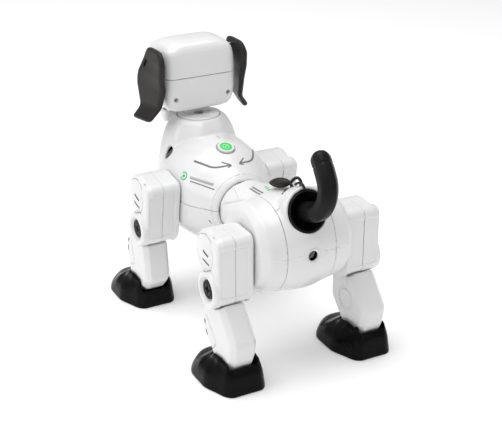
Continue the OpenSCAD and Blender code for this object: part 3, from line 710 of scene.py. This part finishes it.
build("head_top_shell", skin(head_top, (-44, -150, 236), (44, -86, 277), STEP), white, "head",
      ["head_top_shell"], "white_shell")
build("head_bottom_shell", skin(head_bottom, (-45, -158, 186), (45, -86, 240), STEP), white, "head",
      ["head_bottom_shell"], "white_shell")


def visor(p):
    panel = np.maximum(skull(p) + 0.5, -skull(p) - 2.6)
    return np.maximum(meet(panel, visor_room(p, -0.2), 0.5), p[:, 1] - VISOR_BACK)


build("eye_visor", skin(visor, (-35, -150, 220), (35, -138, 260), 0.8), gloss_black, "head",
      ["eye_visor"], "visor")


def nose(p):
    """An oval ball."""
    q = (p - (0, -152, 219.5)) / (1.25, 1, 0.85)
    return (np.linalg.norm(q, axis=1) - 6.6) * 0.85


build("nose", skin(nose, (-10, -160, 212), (10, -144, 228), 0.6), gloss_black, "head", ["nose"],
      "black_plastic")


def jaw(p):
    d = slab(p, JAW, -20, 20, 4)
    return smax(d, -brick(p, (-17.5, -152, 178), (17.5, -143, 200), 1), 0.6)


build("jaw", skin(jaw, (-21, -156, 170), (21, -139, 190), 0.7), white, "head", ["jaw"], "white_shell")


def tongue(p):
    d = brick(p, (-7, -158, 187.6), (7, -152.6, 190), 1.1)
    return smax(d, -(np.hypot(p[:, 0], p[:, 2] - 190.6) - 1.0), 0.5)


build("tongue", skin(tongue, (-8, -159, 187), (8, -152, 191), 0.4), pink, "head", ["tongue"],
      "tongue_pink")


def neck(p):
    """Turning neck with the fork of the head's hinge."""
    d = rod_z(p, NECK_R, 180.4, 195.3, 0, COLLAR_Y, 1.2)
    d = smin(d, brick(p, (-13, TILT[0] - 8, 190), (13, TILT[0] + 8, TILT[1]), 1), 1.5)
    d = smin(d, rod_x(p, 8, -13, 13, *TILT, 0.6), 0.5)
    d = np.minimum(d, rod_z(p, 12, 168, 182, 0, COLLAR_Y, 0.4))
    d = np.minimum(d, rod_z(p, 15, 168, 171, 0, COLLAR_Y, 0.4))
    d = smax(d, -rod_z(p, 5, 150, 196, 0, COLLAR_Y, 0.3), 0.4)
    d = smax(d, -brick(p, (-9.2, TILT[0] - 9, 204), (9.2, TILT[0] + 9, 230), 0.5), 0.4)
    return smax(d, -rod_x(p, 3.1, -14, 14, *TILT), 0.3)


build("neck_post", skin(neck, (-23, -122, 166), (23, -76, 223), 0.9), white, "neck", ["neck_post"],
      "white_shell")


def ear(p):
    """The left ear: a flap that twists outwards below, with a slot near its top."""
    lean = EAR_TWIST * np.clip((258 - p[:, 2]) / 30, 0, 1)
    edge = flat(p[:, 0] + lean * (p[:, 1] - EAR_PIN[0]), p[:, 2], EAR_EDGE)
    d = smax(flat(p[:, 1], p[:, 2], EAR_SIDE), 0.95 * edge, 5)
    q = turned(p - (50, -116, 252), -18)
    slot = np.hypot(q[:, 1], np.maximum(np.abs(q[:, 2]) - 2.6, 0)) - 1.9
    d = smax(d, -np.maximum(slot, 49 - p[:, 0]), 0.8)
    return smax(d, -rod_x(p, 2.05, 0, 48.5, *EAR_PIN), 0.3)


flap = skin(ear, (41, -136, 184), (70, -76, 277), 0.9)
build("ear_left", flap, soft_black, "left_ear", ["ear_left"], "black_soft")
build("ear_right", flap, soft_black, "right_ear", ["ear_right"], "black_soft", mirror=True)

# ---------------------------------------------------------------- legs, with the hub on the origin

THIGH_IN, THIGH_MID, THIGH_OUT, KNEE_OUT = 51.0, 70.0, 88.6, 92.0
HUB_R, HUB_CROWN, KNEE_R = 22.0, 0.0085, 18.6
THIGH = rounded([(-8, 21.5, 8), (29, 21.5, 9), (28.7, KNEE[1] - KNEE_R, 17.5), (2, KNEE[1] - KNEE_R, 8)])
RIB = rounded([(13, 20, 5), (28.4, 21, 8), (28.3, KNEE[1] - 17.8, 17), (11, KNEE[1] - 17.8, 6)])
THIGH_MOUTH = rounded([(-14, -36.5, 1), (25, -36.5, 1), (25, -70, 1), (-14, -70, 1)])
PANEL = rounded([(57, 10.5, 3), (84.5, 10.5, 3), (84.5, -37, 3), (57, -37, 3)])
SHANK = rounded([(-21, -14, 5), (-21.5, -50, 12), (-12, -60, 6), (1, ANKLE[1] - 3, 12),
                 (16, ANKLE[1] - 18, 15), (32, ANKLE[1] - 5, 12), (38, -62, 8), (42, -44, 12),
                 (16, -12, 5)])
SHANK_IN, SHANK_OUT = 58.0, 86.0
BADGE = rounded([(-19.5, -33, 3), (-11, -34, 4), (8.5, -54.5, 3), (-1, -66, 4), (-11, -57, 4),
                 (-19.8, -49, 6)])


def thigh(p):
    """Both halves of a thigh, with the hub on the origin."""
    x = p[:, 0]
    hub = np.hypot(p[:, 1], p[:, 2])
    joint = np.hypot(p[:, 1] - KNEE[0], p[:, 2] - KNEE[1])
    sheet = flat(p[:, 1], p[:, 2], THIGH)
    d = meet(sheet, between(x, THIGH_IN, THIGH_OUT - 5), 1.8)
    crown = THIGH_OUT + 1 - HUB_CROWN * hub ** 2
    d = smin(d, meet(hub - HUB_R, np.maximum(x - crown, THIGH_IN - x), 3.4), 2.0)
    d = smin(d, meet(joint - KNEE_R, between(x, THIGH_IN, KNEE_OUT), 3.8), 1.6)
    d = smin(d, slab(p, RIB, THIGH_IN + 5, THIGH_OUT - 0.2, 3.2), 1.6)
    seam = np.maximum(np.abs(hub - 17.8) - 0.3, THIGH_OUT - 5 - x)
    d = smax(d, -seam, 0.5)
    face = np.maximum(flat(x, p[:, 2], PANEL), 28.4 - p[:, 1])
    d = smax(d, -face, 1.8)
    dish = np.maximum(joint - 10.2 - 0.9 * np.clip(x - 88.5, 0, 4), 88.2 - x)
    d = smax(d, -dish, 0.8)
    room = np.minimum(np.minimum(hub - HUB_R, joint - KNEE_R), sheet) + 2.8
    room = np.minimum(room, flat(p[:, 1], p[:, 2], THIGH_MOUTH))
    d = smax(d, -meet(room, between(x, 54.5, 83.4), 0.5), 0.6)
    d = np.minimum(d, rod_x(p, 9, 54, 84))
    return smax(d, np.where(x < 80, 3.95 - hub, FAR_IN), 0.2)


def thigh_outer(p):
    return smax(thigh(p), THIGH_MID + 0.02 - p[:, 0], 0.08)


def thigh_inner(p):
    return smax(thigh(p), p[:, 0] - THIGH_MID + 0.02, 0.08)


def hub_cap(p):
    """Domed cap over the hip shaft."""
    radial = np.hypot(p[:, 1], p[:, 2])
    crown = THIGH_OUT + 1.5 - HUB_CROWN * radial ** 2
    return meet(radial - 17.5, np.maximum(p[:, 0] - crown, 83.6 - p[:, 0]), 0.6)


def knee_screw(p):
    """Screw whose wide head has a ring groove and a cross."""
    q = p - (0, *KNEE)
    radial = np.hypot(q[:, 1], q[:, 2])
    d = meet(radial - 9.4, between(p[:, 0], 86.5, 90.2), 0.6)
    ring = np.abs(radial - 7.0) - 0.35
    d = smax(d, -np.maximum(ring, 89.5 - p[:, 0]), 0.3)
    cross = np.minimum(np.maximum(np.abs(q[:, 1]) - 0.9, np.abs(q[:, 2]) - 4.4),
                       np.maximum(np.abs(q[:, 2]) - 0.9, np.abs(q[:, 1]) - 4.4))
    d = smax(d, -np.maximum(cross, 88.8 - p[:, 0]), 0.3)
    return np.minimum(d, meet(radial - 2.95, between(p[:, 0], 52, 86), 0.3))


def shank(p):
    """Lower leg with the knee on the origin, its badge outline and the ring on its inner side."""
    d = flat(p[:, 1], p[:, 2], SHANK)
    side = between(p[:, 0], SHANK_IN, SHANK_OUT)
    d = smax(meet(d, side, 1.6), (d + side + 5.0) * 0.7071, 1.0)
    room = np.hypot(p[:, 1], p[:, 2]) - 20.2
    d = smax(d, -np.maximum(room, -58 - p[:, 2]), 1.0)
    badge = flat(p[:, 1], p[:, 2], BADGE)
    d = smax(d, -np.maximum(np.abs(badge) - 0.35, SHANK_OUT - 0.7 - p[:, 0]), 0.4)
    dimple = np.abs(np.hypot(p[:, 1] - 8, p[:, 2] + 42) - 11) - 1.2
    d = smax(d, -np.maximum(dimple, p[:, 0] - SHANK_IN - 0.9), 1.0)
    lobe = smin(rod_x(p, 15.4, 57.2, 82.8, 0, 0, 0.8),
                slab(p, [(0, 0), (-12, -26), (12, -26)], 57.2, 82.8, 0.8), 2)
    d = smin(d, lobe, 1.0)
    d = smax(d, 3.06 - np.hypot(p[:, 1], p[:, 2]), 0.3)
    return smax(d, 3.06 - np.hypot(p[:, 1] - ANKLE[0], p[:, 2] - ANKLE[1]), 0.3)


SHOE_BACK, SHOE_HALF_L, SHOE_HALF_W, SHANK_MID = 14.0, 41.0, 31.0, 71.0
ANKLE_Z = HIP[1] + KNEE[1] + ANKLE[1]
ANKLE_SWING = 8.0
SOLE = rounded([(-16, SHOE_HALF_L, 7), (16, SHOE_HALF_L, 7), (SHOE_HALF_W, 12, 24),
                (SHOE_HALF_W - 1, 18 - SHOE_HALF_L, 24), (12, -SHOE_HALF_L, 20),
                (-12, -SHOE_HALF_L, 20), (1 - SHOE_HALF_W, 18 - SHOE_HALF_L, 24),
                (-SHOE_HALF_W, 12, 24)])
TOP = rounded([(-60, -5, 1), (-60, 6, 1), (-SHOE_HALF_L + 4, 14.5, 16), (-19, 19.5, 14), (-8, 25.5, 8),
               (20, 27.5, 20), (60, 24, 1), (60, -5, 1)])
CUFF = rounded([(-18, 18, 6), (18, 18, 6), (21, 0, 10), (19, -20, 9), (-19, -20, 9), (-21, 0, 10)])


def shoe(p, lean):
    """A shoe whose ankle is on the origin, with room for a shank of that lean."""
    x, y, z = p[:, 0] - SHANK_MID, p[:, 1] + SHOE_BACK, p[:, 2] + ANKLE_Z
    base = flat(x, y, SOLE) + 0.10 * np.clip(z - 3, 0, 30)
    d = smax(base, flat(y, z + 0.008 * x ** 2, TOP), 11)
    rim = flat(x, y - 18, CUFF) + 0.16 * (z - 20)
    roof = z - 33.2 + 0.10 * np.clip(18 - y, 0, 60)
    d = smin(d, smax(smax(rim, roof, 5), -z, 1), 7)
    d = meet(d, -z, 1.2)
    room = None
    for a in (lean - ANKLE_SWING, lean, lean + ANKLE_SWING):
        q = turned(p, a) + (0, *ANKLE)
        width = between(q[:, 0], SHANK_IN - 0.5, SHANK_OUT + 0.5)
        one = meet(flat(q[:, 1], q[:, 2], SHANK) - 0.3, width, 1.2)
        room = one if room is None else np.minimum(room, one)
    d = smax(d, -room, 1.2)
    ankle_room = np.maximum(np.hypot(p[:, 1], p[:, 2]) - 15.8, between(p[:, 0], 55.2, 86.8))
    d = smax(d, -ankle_room, 0.6)
    ribs = np.abs((x + 1.1) % 2.2 - 1.1) - 0.45
    slots = brick(np.stack([x, y, z], 1), (-8.5, 30, 30.6), (8.5, 60, 60), 0.5)
    d = smax(d, -np.maximum(slots, ribs), 0.4)
    axle = meet(np.hypot(p[:, 1], p[:, 2]) - 2.95, between(p[:, 0], 52, 90), 0.2)
    return np.minimum(d, np.maximum(axle, smax(base, z - 34, 1) + 1.5))


parts = {
    "thigh_outer": (skin(thigh_outer, (69, -34, -54), (93, 31, 24), STEP * 0.8), white, "white_shell"),
    "thigh_inner": (skin(thigh_inner, (50, -34, -54), (71, 31, 24), STEP), white, "white_shell"),
    "hub_cap": (skin(hub_cap, (83, -19, -19), (92, 19, 19), 0.7), white, "white_shell"),
    "knee_screw": (skin(knee_screw, (51, 0, -44), (92, 20, -23), 0.55), screw_black, "screw_black"),
    "shank": (skin(shank, (55, -23, -90), (87, 44, 17), STEP * 0.8), white, "white_shell"),
}
shoes = {end: skin(lambda p: shoe(p, lean), (39, -56, -26), (103, 29, 10), STEP * 0.8)
         for end, lean in (("front", FRONT_SHANK_LEAN), ("rear", 0.0))}

prints = {
    "hub_dash_1": (stroke(hub_cap, [(90, 1.5, 3.5), (90, 10.5, 0)], 2.0), "thigh"),
    "hub_dash_2": (stroke(hub_cap, [(90, 0.5, -5.5), (90, 11, -9)], 2.0), "thigh"),
    "badge_dot": (stroke(shank, [(86, -15.5, -39), (86, -14.5, -43)], 2.2), "shank"),
    "badge_dash": (stroke(shank, [(86, -13, -48.5), (86, -10, -54)], 1.8), "shank"),
}


def turn(angle, offset=(0.0, 0.0)):
    """A move that turns about X and then shifts in Y and Z."""
    c, s = math.cos(math.radians(angle)), math.sin(math.radians(angle))

    def move(v, direction=False):
        out = np.stack([v[:, 0], v[:, 1] * c - v[:, 2] * s, v[:, 1] * s + v[:, 2] * c], 1)
        return out if direction else out + (0, *offset)

    return move


def placed(point, angle, origin):
    """A point [y, z] turned about X and moved to an origin."""
    c, s = math.cos(math.radians(angle)), math.sin(math.radians(angle))
    return (origin[0] + point[0] * c - point[1] * s, origin[1] + point[0] * s + point[1] * c)


legs = []
for end, hub, thigh_lean, shank_lean in (("front", SHOULDER, FRONT_THIGH_LEAN, FRONT_SHANK_LEAN),
                                         ("rear", HIP, 0.0, 0.0)):
    knee = placed(KNEE, thigh_lean, hub)
    ankle = placed(ANKLE, shank_lean, knee)
    for hand in ("left", "right"):
        leg = f"{end}_{hand}"
        moves = {"thigh": turn(thigh_lean, hub), "shank": turn(shank_lean, knee),
                 "shoe": turn(0, ankle)}
        legs.append(leg)
        parts["shoe"] = (shoes[end], shoe_black, "shoe_black")
        for part, (surface, finish, name) in parts.items():
            body = part if part in ("shank", "shoe") else "thigh"
            build(f"{leg}_{part}", surface, finish, f"{leg}_{body}", [f"{leg}_{part}"], name,
                  moves[body], hand == "right")
        for part, (surface, body) in prints.items():
            build(f"{leg}_{part}_print", surface, dark_ink, f"{leg}_{body}", [], None, moves[body],
                  hand == "right")

# ---------------------------------------------------------------- tail and plug

TAIL_R = 9.3
TAIL_CAP, TAIL_GROOVE = 15.0, 0.45
TAIL = smooth_line([(0, 118, 164), (0, 127, 167), (-1, 141, 171.5), (-3, 151.5, 183), (-5, 151.5, 198),
                    (-6, 143.5, 211), (-8, 128.5, 225)], 8)


def tube(path, radii, sides, eight=0.0, up=(1.0, 0.0, 0.0)):
    """Swept tube with round or eight-sided rings and closed ends."""
    path = np.array(path, float)
    along = np.gradient(path, axis=0)
    along /= np.linalg.norm(along, axis=1)[:, None]
    first = np.cross(along, up)
    first /= np.linalg.norm(first, axis=1)[:, None]
    second = np.cross(along, first)
    a = np.arange(sides) * 2 * np.pi / sides
    octagon = 1 / np.cos((a + np.pi / 8) % (np.pi / 4) - np.pi / 8)
    shape = 1 + eight * (octagon / octagon.mean() - 1)
    rings = [path[i] + radii[i] * (np.outer(np.cos(a) * shape, first[i])
                                   + np.outer(np.sin(a) * shape, second[i]))
             for i in range(len(path))]
    points = np.vstack(rings + [path[:1], path[-1:]])
    last = (len(path) - 1) * sides
    faces = []
    for i in range(len(path) - 1):
        for k in range(sides):
            n = (k + 1) % sides
            faces.append([i * sides + k, i * sides + n, (i + 1) * sides + n, (i + 1) * sides + k])
    for k in range(sides):
        n = (k + 1) % sides
        faces.append([len(points) - 2, n, k])
        faces.append([len(points) - 1, last + k, last + n])
    return points, faces, None


def tail_radii(path):
    """Radius along the tail, with a round end and a fine groove before it."""
    left = np.linalg.norm(np.diff(path, axis=0), axis=1)
    to_end = np.append(np.cumsum(left[::-1])[::-1], 0)
    tip = TAIL_R * np.sqrt(np.clip(1 - (1 - to_end / TAIL_R) ** 2, 0.003, 1))
    groove = TAIL_GROOVE * np.exp(-((to_end - TAIL_CAP) / 0.7) ** 2)
    return np.where(to_end < TAIL_R, tip, TAIL_R) - groove


length = np.append(0, np.cumsum(np.linalg.norm(np.diff(TAIL, axis=0), axis=1)))
stops = np.append(np.linspace(0, length[-1] - TAIL_R, 90)[:-1],
                  length[-1] - TAIL_R + TAIL_R * np.sin(np.linspace(0, np.pi / 2, 14)))
tail_line = np.stack([np.interp(stops, length, TAIL[:, k]) for k in range(3)], 1)
build("tail", tube(tail_line, tail_radii(tail_line), 48, 0.75), tail_black, "tail", ["tail"],
      "black_soft")


def tail_root(p):
    """Round root that turns in the cup."""
    q = on_cup(p)
    return np.minimum(rod_z(q, 8.4, -9, 10, 0, 0, 1.5), rod_z(q, 4.4, -24, -8, 0, 0, 0.4))


build("tail_root", skin(tail_root, (-12, 95, 150), (12, 140, 180), 0.8), tail_black, "tail", [],
      "black_soft")

PLUG_END = (0.0, 96.0, 184.4)
PLUG_RISE, PLUG_YAW = 12.0, 30.0
PLUG_LEN, PLUG_R = 25.0, 5.6
HINGE = (99.0, 180.8)


def plug(p):
    """Almond-shaped rubber plug that points forward and to the left of its strap."""
    a = math.radians(PLUG_YAW)
    q = p - PLUG_END
    q = np.stack([q[:, 0] * math.cos(a) + q[:, 1] * math.sin(a),
                  q[:, 1] * math.cos(a) - q[:, 0] * math.sin(a), q[:, 2]], 1)
    q = turned(q, PLUG_RISE - 90)
    along = np.clip((q[:, 2] + PLUG_LEN / 2) / (PLUG_LEN / 2), -1, 1)
    radial = np.hypot(q[:, 0], q[:, 1] * 1.15)
    body = (radial - PLUG_R * (1 - along ** 2) ** 0.75) * 0.75
    return smax(body, between(q[:, 2], -PLUG_LEN, 0), 0.6)


LOOP = [(0.5, 94, 183), (-1.5, 98, 188.5), (-3.5, 102, 190.5), (-4.5, 105.5, 187.5), (-3, 106, 182.5),
        (-1, 102, 180.2), (0.5, 98, 181.5), (1, 95, 184)]
STRAP = [(0.5, 104, 185.5), (1, 108, 188.2), (1, 113, 190.2), (1, 118, 190.2), (1, 121.5, 187)]
LOOP_R, STRAP_R = 1.5, 1.3
loop = smooth_line(LOOP, 8)
build("port_plug", skin(plug, (-8, 64, 172), (20, 100, 192), 0.6), soft_black, "port_plug",
      ["port_plug"], "black_soft")
build("port_plug_loop", tube(loop, np.full(len(loop), LOOP_R), 16), soft_black, "port_plug", [],
      "black_soft")
pin = skin(lambda p: rod_x(p, 0.8, -3.4, 3.4, *HINGE, 0.2), (-4, 97, 179), (4, 101, 183), 0.35)
build("port_plug_pin", pin, soft_black, "port_plug", [], "black_soft")
strap = smooth_line(STRAP, 8)
build("port_plug_strap", tube(strap, np.full(len(strap), STRAP_R), 16), soft_black, "rear_body", [],
      "black_soft")

# ---------------------------------------------------------------- CAD nodes that show their own shape

inner = {"rear_gearbox": gear_grey, "front_gearbox": gear_grey, "battery_pack": battery_blue,
         "main_board": board_green, "speaker": cone_black, "rump_screw": steel, "head_screws": steel,
         "waist_pivot": steel, "ear_pins": steel, "eye_lights": blue_light, "power_switch": gloss_black,
         "touch_button": white}
inner.update({f"{leg}_hip_shaft": steel for leg in legs})
for name, finish in inner.items():
    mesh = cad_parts[name].data
    mesh.materials.clear()
    mesh.materials.append(finish)

# ---------------------------------------------------------------- floor, light and camera

FLOOR = 40.0
floor_mesh = bpy.data.meshes.new("floor")
floor_mesh.from_pydata([(-FLOOR, -FLOOR, 0), (FLOOR, -FLOOR, 0), (FLOOR, FLOOR, 0), (-FLOOR, FLOOR, 0)],
                       [], [(0, 1, 2, 3)])
floor_mesh.materials.append(material("floor_white", (0.95, 0.95, 0.95), 0.9, grain=0.0, tone=0.0,
                                     specular=0.1, emit=0.16))
floor = bpy.data.objects.new("floor", floor_mesh)
bpy.context.scene.collection.objects.link(floor)

world = bpy.data.worlds.new("studio")
bpy.context.scene.world = world
world.use_nodes = True
world.node_tree.nodes["Background"].inputs["Color"].default_value = (1, 1, 1, 1)
world.node_tree.nodes["Background"].inputs["Strength"].default_value = 0.42


def softbox(name, place, aim, size, power):
    light = bpy.data.lights.new(name, "AREA")
    light.shape = "RECTANGLE"
    light.size, light.size_y = size
    light.energy = power
    lamp = bpy.data.objects.new(name, light)
    bpy.context.scene.collection.objects.link(lamp)
    lamp.location = place
    lamp.rotation_euler = (Vector(aim) - Vector(place)).to_track_quat("-Z", "Y").to_euler()


softbox("top", (0.3, -0.2, 2.2), (0, 0, 0), (2.2, 2.2), 42.0)
softbox("left", (2.2, -0.2, 1.0), (0, 0, 0.12), (1.4, 1.2), 9.0)
softbox("back", (-0.6, 2.3, 1.2), (0, 0, 0.12), (1.2, 0.8), 2.5)

camera = bpy.data.cameras.new("camera")
camera.lens = 86.76
camera.sensor_width = 36.0
camera.clip_end = 200.0
eye_point = bpy.data.objects.new("camera", camera)
bpy.context.scene.collection.objects.link(eye_point)
TARGET = Vector((0, 0.017, 0.121))
AZIMUTH, ELEVATION, DISTANCE = math.radians(151.4), math.radians(23.7), 1.217
eye_point.location = TARGET + DISTANCE * Vector((math.sin(AZIMUTH) * math.cos(ELEVATION),
                                                 -math.cos(AZIMUTH) * math.cos(ELEVATION),
                                                 math.sin(ELEVATION)))
eye_point.rotation_euler = (TARGET - eye_point.location).to_track_quat("-Z", "Y").to_euler()
bpy.context.scene.camera = eye_point
bpy.context.scene.view_settings.view_transform = "Standard"
